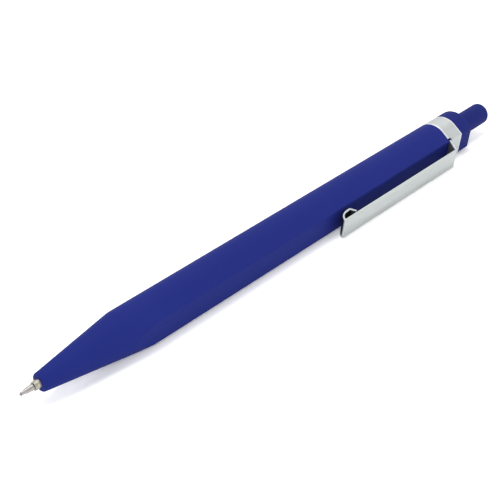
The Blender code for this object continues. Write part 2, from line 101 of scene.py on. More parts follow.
# Places along the pen, from the frame
nose_x, barrel_back = span("barrel")
band_front, band_back = span("clip_band")
spigot_front, cap_back = span("end_cap")
button_front, button_back = span("push_button")
spring_front, spring_back = span("return_spring")
tube_front, tube_back = span("refill_tube")
ink_front, ink_back = span("ink_column")
grease_front, grease_back = span("ink_follower")
collar_front, socket_back = span("tip_socket")
tip_front, tip_back = span("writing_tip")
barrel_radius = (axis_place[2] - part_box("barrel")[0].z) / MM
cap_front = band_back + band_front - barrel_back     # the same gap on both sides of the band

# Barrel and end cap
SEAM = 0.05                  # hairline where two outside pieces meet
FLAT_STEP = math.radians(60)  # turn from one flat to the next
CORNER_ROUND = 0.35          # long edges beside the clip
LEAST_ROUND = 0.08           # smallest rounding of a corner on an inner skin
NOSE_RIM = 1.85
NOSE_ROUND = 0.4
NOSE_SLOPE = math.tan(math.radians(8.1))
RIM_RUN = 2.0                # the rim's path reaches this far along the cone
RIM_DEPTH = 1.2              # and starts this deep in the nose hole
BORE_DEPTH = 1.5             # the bore's path ends this deep in the nose hole
CREASE = 0.45                # half length of the soft edge between cone and flats
NOSE_HOLE = 0.94
HOLE_ROUND = 0.06
EDGE_ROUND = 0.12            # moulded edges beside the band
CHAMBER_RADIUS = 1.8
CHAMBER_SEAT = 9.5           # place along the pen where the spring's chamber starts
TAPER_FRONT = 11.7           # the bore widens from this place
TAPER_BACK = 22.2            # to this one
MAIN_BORE = 3.3
COUNTERBORE = 4.0
BACK_RING = 0.15             # flat ring kept round the counterbore
SHOULDER = 110.2             # place where the counterbore starts
CAP_ROUND = 0.5
CAP_HOLE = 2.725
CAP_RING = 0.4               # flat ring kept round the button's hole
END_WALL = 2.85              # thickness of the cap round the button's hole
SPIGOT_RADIUS = 3.75
SPIGOT_BORE = 3.2
TINY_ROUND = 0.05

# Band and clip, one pressing of sheet
SHEET = 0.5
SHEET_EDGE = 0.08            # rolled edge of the sheet
EDGE_STEPS = 4               # steps of one rolled edge
BEND_SHARE = 0.8             # most of a run that one bend may take
BAND_RIM = 0.26              # width of the painted highlight along the band's edges, where the ring also has a row
STANDOFF = 3.15              # clip's outer face above the flat
CLIP_LENGTH = 42.7           # band's front edge to the clip's free end
WEB_LEAN = math.radians(32.5)
WEB_FOOT = 0.434             # sheet's middle above the flat, level with the band's front edge
ROOT_BEND = 0.5
CLIP_BEND = 0.7
CLIP_WIDTH = 0.94            # of the flat's width, reached at the top of the web
CLIP_FOLD = 0.06             # bend of the sheet's middle where the grip folds back
GRIP_LENGTH = 4.1            # free end to the crest of the folded grip
GRIP_CREST = 0.7             # air between the crest and the flat
GRIP_STEEP = math.radians(58)
GRIP_SHALLOW = math.radians(5)
GRIP_SWEEP = 3.3             # the grip's long curve
CREST_BEND = 0.35
GRIP_RISE = 0.6              # the grip's last run past the crest
GRIP_AIR = 0.3               # air between the grip's end and the arm
FOLD_FADE = 2.0              # painted shade inside the grip fades out along this much of the arm
FLEX_RUN = 1.6               # the real web bends along this much when the clip is lifted

# Button
BUTTON_RADIUS = 2.59
BUTTON_ROUND = 0.9
BUTTON_CROWN = 0.8           # height of the crowned end
CROWN_MIDDLE = 0.9           # radius of the crown's flatter middle
CROWN_DROP = 0.04            # fall from the axis to that radius
CROWN_ROUND = 1.5
FLANGE_RADIUS = 2.95
FLANGE = 1.0                 # length of the stop flange
BUTTON_BORE = 1.775
BUTTON_ROOF = 6.2            # solid end behind the blind bore

# Refill
BALL_RADIUS = 0.25
BALL_ROOM = 0.04             # play round the ball
TIP_LIP = 0.36
TIP_NIB = 0.8                # length of the narrow nib
TIP_FLARE = 0.55             # length of the flare behind it
TIP_WAIST = 0.53
TIP_BASE = 0.64
TIP_SHANK = 0.3
TIP_EDGE = 0.03
BASE_ROUND = 0.08
FLARE_ROUND = 0.2
NIB_ROUND = 0.15
POCKET_ROUND = 0.02
COLLAR_RADIUS = 0.9
COLLAR_BORE = 0.55
COLLAR_ROUND = 0.14
TUBE_RADIUS = 1.55
TUBE_BORE = 1.15
TUBE_ROUND = 0.1             # outer edges of the tube and of the socket inside it
FILL_RADIUS = 0.9
FILL_ROUND = 0.2
WIRE = 0.2
COIL_RADIUS = 1.35
COIL_TURNS = 9

# Fineness of the grids
BACK_STEPS = 96
CORNER_STEPS = 8
FLAT_SHARES = np.array((0.02, 0.08, 0.18, 0.34, 0.5, 0.66, 0.82, 0.92, 0.98))
NOTCH_COLUMNS = 2            # columns of a side flat that the relief notch beside the clip takes
BEND_STEPS = 8
SUPPORT = 0.06               # flats keep their own shade up to this close to a bend
SUPPORT_SHARE = 0.125        # most of a run that this distance may take
SIDES = 96
SMALL_SIDES = 64
CONE_ROWS = 24
CREASE_ROWS = 9
BODY_ROWS = 40
BAND_ROWS = 7
BALL_STEPS = 32
WIRE_SIDES = 12
COIL_POINTS = 40
SHARP = 40                   # degrees; a steeper edge isn't shaded smooth
WIRE_SHARP = 60

# Grain and marks
GRAIN_HEIGHT = 0.02          # millimetres at full depth
FINE_DETAIL = 2.0
BROAD_DETAIL = 3.0
NOISE_MIDDLE = 0.5
DARK_NOISE = 0.3             # broad noise that gives the dark tone
LIGHT_NOISE = 0.7            # broad noise that gives the light tone
MARK_EDGE = 0.75             # a mark counts from this value on


# Surfaces

def round_corners(corners, closed=False):
    """A path through (x, r, rounding) corners, each turned into an arc that touches both runs.

    The arc's centre lies on the bisector, rounding / sin(half angle) from the corner, and the
    arc is a slerp between its two end radii. A support point stands just outside each arc end.
    A closed path rounds every corner, and an open one keeps its two end points.
    """
    corners = [tuple(corner) + (0.0,) * (3 - len(corner)) for corner in corners]
    corners = np.array(corners)
    here = corners[:, :2]
    if closed:
        before, inner, after = np.roll(here, 1, axis=0), here, np.roll(here, -1, axis=0)
        rounding = corners[:, 2:]
    else:
        before, inner, after = here[:-2], here[1:-1], here[2:]
        rounding = corners[1:-1, 2:]
    back, ahead = before - inner, after - inner
    back_run = np.linalg.norm(back, axis=1, keepdims=True)
    ahead_run = np.linalg.norm(ahead, axis=1, keepdims=True)
    back, ahead = back / back_run, ahead / ahead_run
    half = np.arccos(np.clip((back * ahead).sum(axis=1, keepdims=True), -1, 1)) / 2
    setback = rounding / np.tan(half)
    middle = back + ahead
    centre = inner + middle / np.linalg.norm(middle, axis=1, keepdims=True) * rounding / np.sin(half)
    start = (inner + back * setback - centre)[:, None]
    end = (inner + ahead * setback - centre)[:, None]
    sweep = (math.pi - 2 * half)[:, None]
    share = np.linspace(0, 1, BEND_STEPS + 1)[None, :, None]
    arc = (np.sin((1 - share) * sweep) * start + np.sin(share * sweep) * end) / np.sin(sweep)
    lead = inner + back * (setback + np.minimum(SUPPORT, SUPPORT_SHARE * back_run))
    trail = inner + ahead * (setback + np.minimum(SUPPORT, SUPPORT_SHARE * ahead_run))
    path = np.concatenate((lead[:, None], centre[:, None] + arc, trail[:, None]), axis=1).reshape(-1, 2)
    return path if closed else np.vstack((here[:1], path, here[-1:]))


def turned(path, sides):
    """Surface of revolution: every (x, radius) of a path carried round the pen's axis."""
    angle = np.arange(sides) * (2 * math.pi / sides)
    radius = path[:, 1:]
    return place(path[:, :1], radius * np.cos(angle), radius * np.sin(angle))


def outline(inset):
    """The barrel's section, set in by a wall: arcs about fixed centres joined by straight flats.

    The round back turns from -120 to 120 degrees about the axis. The two corners beside the clip
    turn 60 degrees each about centres at 150 and 210 degrees.
    """
    radius = barrel_radius - inset
    rounding = max(CORNER_ROUND - inset, LEAST_ROUND)
    reach = (radius - rounding) / math.cos(FLAT_STEP / 2)

    def arc(distance, bearing, size, first, last, steps):
        """An arc of a circle whose centre stands at a distance and a bearing from the axis."""
        angle = np.linspace(first, last, steps + 1)
        return np.stack((distance * math.cos(bearing) + size * np.cos(angle),
                         distance * math.sin(bearing) + size * np.sin(angle)), axis=1)

    def flat(first, last):
        """Points between the ends of a flat, at FLAT_SHARES of its width."""
        return first + (last - first) * FLAT_SHARES[:, None]

    edge = math.pi - FLAT_STEP
    back = arc(0.0, 0.0, radius, -edge, edge, BACK_STEPS)
    upper = arc(reach, math.pi - FLAT_STEP / 2, rounding, edge, math.pi, CORNER_STEPS)
    lower = arc(reach, math.pi + FLAT_STEP / 2, rounding, math.pi, math.pi + FLAT_STEP, CORNER_STEPS)
    runs = (back, flat(back[-1], upper[0]), upper, flat(upper[-1], lower[0]), lower,
            flat(lower[-1], back[0]))
    return np.vstack(runs).T


# Columns of the section: the upper corner's first, the clip flat's two ends, the lower corner's last
upper_start = BACK_STEPS + 1 + len(FLAT_SHARES)
clip_start = upper_start + CORNER_STEPS
clip_end = clip_start + len(FLAT_SHARES) + 1
lower_end = clip_end + CORNER_STEPS


def outline_rows(x, insets):
    """One row of the barrel's section for each x and inset."""
    sections = np.array([outline(inset) for inset in insets])
    return np.stack((np.broadcast_to(np.reshape(x, (-1, 1)), sections[:, 0].shape),
                     sections[:, 0], sections[:, 1]), axis=-1)


def round_rows(path):
    """Circular rows for an (x, radius) path, with columns at the bearings of the barrel's section."""
    y, z = outline(0.0)
    bearing = np.arctan2(z, y)
    x = np.broadcast_to(path[:, :1], (len(path), len(bearing)))
    return np.stack((x, path[:, 1:] * np.cos(bearing), path[:, 1:] * np.sin(bearing)), axis=-1)


def edge_rows(x, rounding, way):
    """A rounded end of the section: the inset grows with 1 - cos while x closes in with sin.

    The way is 1 at a back end and -1 at a front end.
    """
    turn = np.linspace(0, math.pi / 2, BEND_STEPS + 1)
    insets = rounding * (1 - np.cos(turn))
    return outline_rows(x - way * rounding * (1 - np.sin(turn)), insets)


# Meshes and pieces

def quads_of(rows, columns, wrap_rows=False, wrap_columns=False, first=0):
    """Corner numbers of every cell of a grid whose points are numbered row by row."""
    index = first + np.arange(rows * columns).reshape(rows, columns)
    if wrap_rows:
        index = np.vstack((index, index[:1]))
    if wrap_columns:
        index = np.hstack((index, index[:, :1]))
    cells = (index[:-1, :-1], index[1:, :-1], index[1:, 1:], index[:-1, 1:])
    return np.stack(cells, axis=-1).reshape(-1, 4)


def new_mesh(name, points, quads, sharp=SHARP):
    """A closed mesh from a grid of points."""
    mesh = bpy.data.meshes.new(name)
    mesh.from_pydata(points.reshape(-1, 3).tolist(), [], quads.tolist())
    return smoothed(mesh, sharp)


def smoothed(mesh, sharp=SHARP):
    """Merge a mesh's seams and poles, point its faces out and shade it smooth up to a sharp angle."""
    edit = bmesh.new()
    edit.from_mesh(mesh)
    bmesh.ops.remove_doubles(edit, verts=edit.verts, dist=MERGE)
    bmesh.ops.recalc_face_normals(edit, faces=edit.faces)
    edit.to_mesh(mesh)
    edit.free()
    mesh.shade_smooth()
    mesh.set_sharp_from_angle(angle=math.radians(sharp))
    return mesh


def add_piece(name, mesh, material, slot, *nodes):
    """A finished piece in place of its nodes, with its finish. The slot is not used."""
    piece = bpy.data.objects.new(name, mesh)
    bpy.context.scene.collection.objects.link(piece)
    mesh.materials.append(material)
    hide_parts(*nodes)
    return piece


def add_turned(name, path, sides, material, slot, node, body, closed=True):
    """A turned piece: a closed half outline makes a ring, an open one ends on the axis."""
    points = turned(path, sides)
    mesh = new_mesh(name, points, quads_of(len(path), sides, wrap_rows=closed, wrap_columns=True))
    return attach(add_piece(name, mesh, material, slot, node), body)


def add_ring(name, rows, material, slot, node, body):
    """A closed shell of rows that follow the barrel's section all round."""
    points = place(rows[..., 0], rows[..., 1], rows[..., 2])
    quads = quads_of(*points.shape[:2], wrap_rows=True, wrap_columns=True)
    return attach(add_piece(name, new_mesh(name, points, quads), material, slot, node), body)


# Finishes

def new_group(name, inputs, outputs):
    """An empty node group with float inputs and named outputs."""
    tree = bpy.data.node_groups.new(name, "ShaderNodeTree")
    for label, value in inputs:
        socket = tree.interface.new_socket(label, in_out="INPUT", socket_type="NodeSocketFloat")
        socket.default_value = value
    for label, kind in outputs:
        tree.interface.new_socket(label, in_out="OUTPUT", socket_type=kind)
    return tree, tree.nodes.new("NodeGroupInput"), tree.nodes.new("NodeGroupOutput")


def noise_node(tree, stretch, detail):
    """Noise on Object coordinates, stretched along the pen by a Mapping node."""
    coordinates = tree.nodes.new("ShaderNodeTexCoord")
    mapping = tree.nodes.new("ShaderNodeMapping")
    mapping.inputs["Scale"].default_value = stretch
    noise = tree.nodes.new("ShaderNodeTexNoise")
    noise.inputs["Detail"].default_value = detail
    tree.links.new(coordinates.outputs["Object"], mapping.inputs["Vector"])
    tree.links.new(mapping.outputs["Vector"], noise.inputs["Vector"])
    return noise


def grain_group(name, stretch):
    """Surface grain: a soft tone, a roughness that follows fine grain, and a normal from the same grain.

    Roughness is the mean plus spread times (grain - NOISE_MIDDLE). Tone is a broad noise, spread to 0..1.
    """
    inputs = (("Grain Size", 8000.0), ("Cloud Size", 60.0),
              ("Roughness", 0.4), ("Spread", 0.1), ("Depth", 0.1))
    outputs = (("Tone", "NodeSocketFloat"), ("Roughness", "NodeSocketFloat"),
               ("Normal", "NodeSocketVector"))
    tree, given, result = new_group(name, inputs, outputs)
    fine = noise_node(tree, stretch, FINE_DETAIL)
    broad = noise_node(tree, stretch, BROAD_DETAIL)
    ease = tree.nodes.new("ShaderNodeMapRange")
    ease.inputs["From Min"].default_value = DARK_NOISE
    ease.inputs["From Max"].default_value = LIGHT_NOISE
    centred = tree.nodes.new("ShaderNodeMath")
    centred.operation = "SUBTRACT"
    centred.inputs[1].default_value = NOISE_MIDDLE
    vary = tree.nodes.new("ShaderNodeMath")
    vary.operation = "MULTIPLY_ADD"
    bump = tree.nodes.new("ShaderNodeBump")
    bump.inputs["Distance"].default_value = GRAIN_HEIGHT * MM
    link = tree.links.new
    link(given.outputs["Grain Size"], fine.inputs["Scale"])
    link(given.outputs["Cloud Size"], broad.inputs["Scale"])
    link(broad.outputs["Fac"], ease.inputs["Value"])
    link(fine.outputs["Fac"], centred.inputs[0])
    link(centred.outputs[0], vary.inputs[0])
    link(given.outputs["Spread"], vary.inputs[1])
    link(given.outputs["Roughness"], vary.inputs[2])
    link(given.outputs["Depth"], bump.inputs["Strength"])
    link(fine.outputs["Fac"], bump.inputs["Height"])
    link(ease.outputs["Result"], result.inputs["Tone"])
    link(vary.outputs[0], result.inputs["Roughness"])
    link(bump.outputs["Normal"], result.inputs["Normal"])
    return tree


moulded_grain = grain_group("moulded_grain", (1.0, 1.0, 1.0))
drawn_grain = grain_group("drawn_grain", (0.04, 1.0, 1.0))


def new_finish(name, group, grain, dark, light, **constants):
    """A Principled BSDF whose tone, roughness and normal come from a grain group."""
    material = bpy.data.materials.new(name)
    material.use_nodes = True
    tree = material.node_tree
    shader = tree.nodes["Principled BSDF"]
    surface = tree.nodes.new("ShaderNodeGroup")
    surface.node_tree = group
    for label, value in grain.items():
        surface.inputs[label].default_value = value
    mix = tree.nodes.new("ShaderNodeMix")
    mix.data_type = "RGBA"
    mix.inputs["A"].default_value = (*dark, 1.0)
    mix.inputs["B"].default_value = (*light, 1.0)
    tree.links.new(surface.outputs["Tone"], mix.inputs["Factor"])
    tree.links.new(mix.outputs["Result"], shader.inputs["Base Color"])
    tree.links.new(surface.outputs["Roughness"], shader.inputs["Roughness"])
    tree.links.new(surface.outputs["Normal"], shader.inputs["Normal"])
    for label, value in constants.items():
        shader.inputs[label.replace("_", " ")].default_value = value
    return material


def plastic(name, dark, light, roughness, depth=0.4, **constants):
    """Moulded plastic with a fine spark-eroded grain."""
    grain = {"Grain Size": 6500.0, "Roughness": roughness, "Spread": 0.2, "Depth": depth}
    return new_finish(name, moulded_grain, grain, dark, light, **constants)


def marked_tone(material, mark, colour):
    """Let the places that an attribute marks take another colour, with a firm edge."""
    tree = material.node_tree
    shader = tree.nodes["Principled BSDF"]
    plain = shader.inputs["Base Color"].links[0].from_socket
    where = tree.nodes.new("ShaderNodeAttribute")
    where.attribute_name = mark
    ease = tree.nodes.new("ShaderNodeMapRange")
    ease.inputs["From Min"].default_value = MARK_EDGE
    mix = tree.nodes.new("ShaderNodeMix")
    mix.data_type = "RGBA"
    mix.inputs["B"].default_value = (*colour, 1.0)
    tree.links.new(where.outputs["Fac"], ease.inputs["Value"])
    tree.links.new(ease.outputs["Result"], mix.inputs["Factor"])
    tree.links.new(plain, mix.inputs["A"])
    tree.links.new(mix.outputs["Result"], shader.inputs["Base Color"])


def tone_along(material, start, end):
    """Let a finish run from its dark to its light tone between two places along the pen."""
    tree = material.node_tree
    mix = tree.nodes["Principled BSDF"].inputs["Base Color"].links[0].from_node
    coordinates = tree.nodes.new("ShaderNodeTexCoord")
    along = tree.nodes.new("ShaderNodeSeparateXYZ")
    ramp = tree.nodes.new("ShaderNodeMapRange")
    ramp.interpolation_type = "SMOOTHSTEP"
    ramp.inputs["From Min"].default_value = point_x + start * MM
    ramp.inputs["From Max"].default_value = point_x + end * MM
    tree.links.new(coordinates.outputs["Object"], along.inputs["Vector"])
    tree.links.new(along.outputs["X"], ramp.inputs["Value"])
    tree.links.new(ramp.outputs["Result"], mix.inputs["Factor"])


def metal(name, dark, light, roughness, depth=0.3):
    """Metal with fine marks drawn along the pen."""
    grain = {"Grain Size": 11000.0, "Cloud Size": 2600.0,
             "Roughness": roughness, "Spread": 0.24, "Depth": depth}
    return new_finish(name, drawn_grain, grain, dark, light, Metallic=1.0)


blue_plastic = plastic("blue_satin_plastic", (0.0119, 0.0190, 0.143), (0.0131, 0.0206, 0.153), 0.55,
                       Specular_IOR_Level=0.03)
tail_plastic = plastic("blue_tail_plastic", (0.0112, 0.0168, 0.120), (0.0122, 0.0182, 0.130), 0.55,
                       Specular_IOR_Level=0.03)
clip_metal = metal("satin_clip_metal", (0.455, 0.480, 0.477), (0.490, 0.518, 0.515), 0.52)
# painted shade: the inside of the folded grip is painted near black, where the fold keeps the light out
marked_tone(clip_metal, "grip_painted_shade", (0.03, 0.045, 0.055))
# painted highlight: a bright line along each edge of the band
marked_tone(clip_metal, "painted_rim_highlight", (0.69, 0.71, 0.72))
# the collar runs from greenish grey at the front to cream at the nose; the cream end is painted lighter to
# offset the shade inside the nose hole
collar_metal = metal("nickel_collar", (0.30, 0.31, 0.25), (0.72, 0.64, 0.55), 0.38)
tone_along(collar_metal, collar_front, nose_x)
tip_metal = metal("turned_tip", (0.345, 0.327, 0.316), (0.428, 0.406, 0.393), 0.38)
ball_metal = metal("polished_ball", (0.20, 0.20, 0.21), (0.25, 0.25, 0.26), 0.22, depth=0.02)
wire_metal = metal("spring_wire", (0.58, 0.60, 0.60), (0.66, 0.68, 0.68), 0.25)
white_plastic = plastic("white_acetal", (0.78, 0.78, 0.75), (0.84, 0.84, 0.82), 0.45, depth=0.15)
tube_plastic = plastic("milky_tube", (0.70, 0.74, 0.77), (0.78, 0.81, 0.83), 0.3, depth=0.04)
ink_fill = plastic("blue_ink", (0.003, 0.006, 0.10), (0.005, 0.010, 0.14), 0.15, depth=0.02)
grease_fill = plastic("clear_grease", (0.66, 0.61, 0.44), (0.74, 0.70, 0.54), 0.2, depth=0.03)


# Barrel, end cap, band and clip

def make_barrel():
    """Barrel shell, row by row: rim, cone, soft crease, section, tail edge, then the bore back to the rim.

    The cone's radius is NOSE_RIM + NOSE_SLOPE * (x - nose_x). Each column meets the section where
    the two radii agree, and a parabola of half length CREASE eases the one into the other.
    """
    section = outline(0.0)
    reach = np.hypot(*section)
    unit = section / reach
    crease = nose_x + (reach - NOSE_RIM) / NOSE_SLOPE
    rim_end = nose_x + RIM_RUN
    rim = round_corners([(nose_x + RIM_DEPTH, NOSE_HOLE), (nose_x, NOSE_HOLE, HOLE_ROUND),
                         (nose_x, NOSE_RIM, NOSE_ROUND), (rim_end, NOSE_RIM + NOSE_SLOPE * RIM_RUN)])
    share = np.linspace(0, 1, CONE_ROWS)[1:, None]
    cone_x = rim_end + share * (crease - CREASE - rim_end)
    cone = np.stack((cone_x, *((NOSE_RIM + NOSE_SLOPE * (cone_x - nose_x)) * unit[:, None])), axis=-1)
    share = np.linspace(0, 1, CREASE_ROWS)[1:, None]
    crease_x = crease + CREASE * (2 * share - 1)
    ease = reach - NOSE_SLOPE * CREASE * (1 - share) ** 2
    soft = np.stack((crease_x, *(ease * unit[:, None])), axis=-1)
    share = np.linspace(0, 1, BODY_ROWS)[1:, None]
    body_x = crease + CREASE + share * (barrel_back - EDGE_ROUND - crease - CREASE)
    body = np.stack((body_x, *np.broadcast_to(section[:, None], (2, *body_x.shape))), axis=-1)
    bore = round_corners([(barrel_back, COUNTERBORE + BACK_RING), (barrel_back, COUNTERBORE, TINY_ROUND),
                          (SHOULDER, COUNTERBORE, TINY_ROUND), (SHOULDER, MAIN_BORE, TINY_ROUND),
                          (TAPER_BACK, MAIN_BORE, TINY_ROUND), (TAPER_FRONT, CHAMBER_RADIUS, TINY_ROUND),
                          (CHAMBER_SEAT, CHAMBER_RADIUS, TINY_ROUND), (CHAMBER_SEAT, NOSE_HOLE, TINY_ROUND),
                          (nose_x + BORE_DEPTH, NOSE_HOLE)])
    rows = np.concatenate((round_rows(rim), cone, soft, body,
                           edge_rows(barrel_back, EDGE_ROUND, 1)[1:], round_rows(bore)))
    add_ring("barrel_shell", rows, blue_plastic, "blue_plastic", "barrel", "body")


def make_end_cap():
    """End cap, row by row: front edge, section, rounded tail, the button's hole, spigot, band's neck.

    The outside is the barrel's section. Hole and spigot are circular rows, and the neck under the
    band is the section set in by what the spigot leaves of the barrel's radius.
    """
    wall_x = cap_back - END_WALL
    neck = barrel_radius - SPIGOT_RADIUS
    bore = round_corners([(cap_back, CAP_HOLE + CAP_RING), (cap_back, CAP_HOLE, HOLE_ROUND),
                          (wall_x, CAP_HOLE, TINY_ROUND), (wall_x, SPIGOT_BORE, TINY_ROUND),
                          (spigot_front, SPIGOT_BORE, TINY_ROUND),
                          (spigot_front, SPIGOT_RADIUS, TINY_ROUND), (barrel_back, SPIGOT_RADIUS)])
    rows = np.concatenate((edge_rows(cap_front, EDGE_ROUND, -1)[::-1], edge_rows(cap_back, CAP_ROUND, 1),
                           round_rows(bore), outline_rows((band_front, cap_front), (neck, neck))))
    add_ring("end_cap_shell", rows, tail_plastic, "blue_plastic", "end_cap", "body")


def clip_corners():
    """Middle of the clip's sheet as (x, height above the flat, bend): root, web, arm and folded grip."""
    middle = STANDOFF - SHEET / 2
    web_run = math.tan(WEB_LEAN)
    root_x = band_front + (WEB_FOOT + SHEET / 2) * web_run
    arm_x = band_front - (middle - WEB_FOOT) * web_run
    free_x = band_front - CLIP_LENGTH
    fold_x = free_x + SHEET / 2 + CLIP_FOLD - CLIP_FOLD / math.tan(GRIP_STEEP / 2)
    crest_x = free_x + GRIP_LENGTH
    crest = GRIP_CREST + SHEET / 2
    steep, shallow = math.tan(GRIP_STEEP), math.tan(GRIP_SHALLOW)
    knee_x = (middle - crest + steep * fold_x - shallow * crest_x) / (steep - shallow)
    knee = crest + shallow * (crest_x - knee_x)
    start_x = root_x + ROOT_BEND * math.tan((math.pi / 2 - WEB_LEAN) / 2) + SUPPORT
    return np.array(((start_x, -SHEET / 2, 0), (root_x, -SHEET / 2, ROOT_BEND), (arm_x, middle, CLIP_BEND),
                     (fold_x, middle, CLIP_FOLD), (knee_x, knee, GRIP_SWEEP), (crest_x, crest, CREST_BEND),
                     (crest_x + GRIP_RISE, middle - SHEET / 2 - GRIP_AIR, 0)))


def skin_path(corners, side):
    """One skin of a folded sheet: every run moved square to itself, every bend with its own radius.

    A corner moves by side times the sum of its runs' normals over 1 + their dot product. Its radius
    grows by side on the outside of a bend and shrinks on the inside, down to LEAST_ROUND, and a bend
    never takes more than BEND_SHARE of the shorter run beside it.
    """
    run = np.diff(corners[:, :2], axis=0)
    run /= np.linalg.norm(run, axis=1, keepdims=True)
    square = np.stack((run[:, 1], -run[:, 0]), axis=1)
    before, after = square[:-1], square[1:]
    mitre = (before + after) / (1 + (before * after).sum(axis=1, keepdims=True))
    turn = run[:-1, 0] * run[1:, 1] - run[:-1, 1] * run[1:, 0]
    skin = corners.copy()
    skin[:, :2] += side * np.vstack((square[:1], mitre, square[-1:]))
    length = np.linalg.norm(np.diff(skin[:, :2], axis=0), axis=1)
    room = BEND_SHARE * np.minimum(length[:-1], length[1:])
    half_turn = np.abs(turn) / (1 + (run[:-1] * run[1:]).sum(axis=1))
    wanted = np.maximum(corners[1:-1, 2] + np.sign(turn) * side, LEAST_ROUND)
    skin[1:-1, 2] = np.minimum(wanted, room / half_turn)
    return round_corners(skin)


def edge_normals(points, quads, edges, owners):
    """Outward direction in the sheet at each free vertex, long enough to mitre its two free edges.

    An edge's own direction is its run crossed with its cell's normal. The mitre of two unit
    directions is twice their sum over the square of the sum's length.
    """
    corner = points[quads[owners]]
    normal = np.cross(corner[:, 2] - corner[:, 0], corner[:, 3] - corner[:, 1])
    out = np.cross(points[edges[:, 1]] - points[edges[:, 0]], normal)
    out /= np.linalg.norm(out, axis=1, keepdims=True)
    total = np.zeros_like(points)
    np.add.at(total, edges[:, 0], out)
    np.add.at(total, edges[:, 1], out)
    total = total[np.unique(edges)]
    return 2 * total / (total ** 2).sum(axis=1, keepdims=True)


def sheet_mesh(name, outer, inner, quads, marks):
    """Two skins of sheet, joined by a rolled wall along every free edge.

    Points of the outer skin that coincide are merged, and the inner skin's with them. An edge that
    only one cell uses is free. Each skin draws back from it by SHEET_EDGE, and a quarter circle
    leads from the skin to the wall. Marks are point values for the two skins, mixed on the walls.
    """
    _, first, merged = np.unique(np.round(outer / MERGE).astype(np.int64), axis=0,
                                 return_index=True, return_inverse=True)
    quads = merged.reshape(-1)[quads]
    count = len(first)
    edges = np.stack((quads, np.roll(quads, -1, axis=1)), axis=-1).reshape(-1, 2)
    _, where, uses = np.unique(np.sort(edges, axis=1), axis=0, return_inverse=True, return_counts=True)
    free = np.flatnonzero(uses[where.reshape(-1)] == 1)
    owners, edges = free // 4, edges[free]
    rim = np.unique(edges)
    through = inner[first][rim] - outer[first][rim]
    through *= SHEET_EDGE * MM / np.linalg.norm(through, axis=1, keepdims=True)
    turn = np.linspace(0, math.pi / 2, EDGE_STEPS + 1)[:, None, None]
    skins, rolls = [], []
    for points, way in ((outer[first], 1), (inner[first], -1)):
        out = SHEET_EDGE * MM * edge_normals(points, quads, edges, owners)
        points[rim] -= out
        rolls.append(points[rim] + out * np.sin(turn) + way * through * (1 - np.cos(turn)))
        skins.append(points)
    roll = np.concatenate((rolls[0][1:], rolls[1][:0:-1]))
    number = 2 * count + np.arange(len(roll) * len(rim)).reshape(len(roll), -1)
    rows = np.vstack((rim, number, rim + count))
    tails, heads = np.searchsorted(rim, edges).T
    walls = np.stack((rows[:-1, heads], rows[:-1, tails], rows[1:, tails], rows[1:, heads]), axis=-1)
    mesh = bpy.data.meshes.new(name)
    mesh.from_pydata(np.vstack((*skins, roll.reshape(-1, 3))).tolist(), [],
                     np.vstack((quads, quads[:, ::-1] + count, walls.reshape(-1, 4))).tolist())
    share = np.linspace(0, 1, len(rows))[1:-1, None]
    for label, sides in marks.items():
        outside, inside = (side[first].astype(float) for side in sides)
        wall = (1 - share) * outside[rim] + share * inside[rim]
        values = np.concatenate((outside, inside, wall.ravel())).astype(np.float32)
        mesh.attributes.new(label, "FLOAT", "POINT").data.foreach_set("value", values)
    return smoothed(mesh)


def clip_marks(outer, inner, tab_first, columns, crest_x, rim_front, rim_back):
    """Marks of the pressing for its two skins: painted shade inside the grip and a painted highlight along
    the band's rims.

    The tab's points start at tab_first, a row of columns at a time, and its long edges stay plain.
    The outer skin takes the painted shade where it has turned in under the arm. The inner skin takes it
    up to the crest, and it fades out along FOLD_FADE. A rim's painted highlight takes the ring's points
    within BAND_RIM of it.
    """
    number = np.arange(len(outer)) - tab_first
    between_edges = np.isin(number % columns, (0, columns - 1), invert=True)
    # painted shade mask: the grip's inner faces, fading out along the arm
    turned_in = (outer[:, 0] < crest_x + GRIP_RISE) & (outer[:, 1] > SHEET - STANDOFF - barrel_radius)
    inside = 1 - np.clip((inner[:, 0] - crest_x) / FOLD_FADE, 0, 1)
    # painted highlight mask: the ring's points near its front and back edges
    from_rim = np.minimum(outer[:, 0] - rim_front, rim_back - outer[:, 0])
    near_rim = (number < 0) & (from_rim < BAND_RIM + SEAM)
    return {"grip_painted_shade": (turned_in * between_edges, inside * between_edges),
            "painted_rim_highlight": (near_rim, near_rim)}


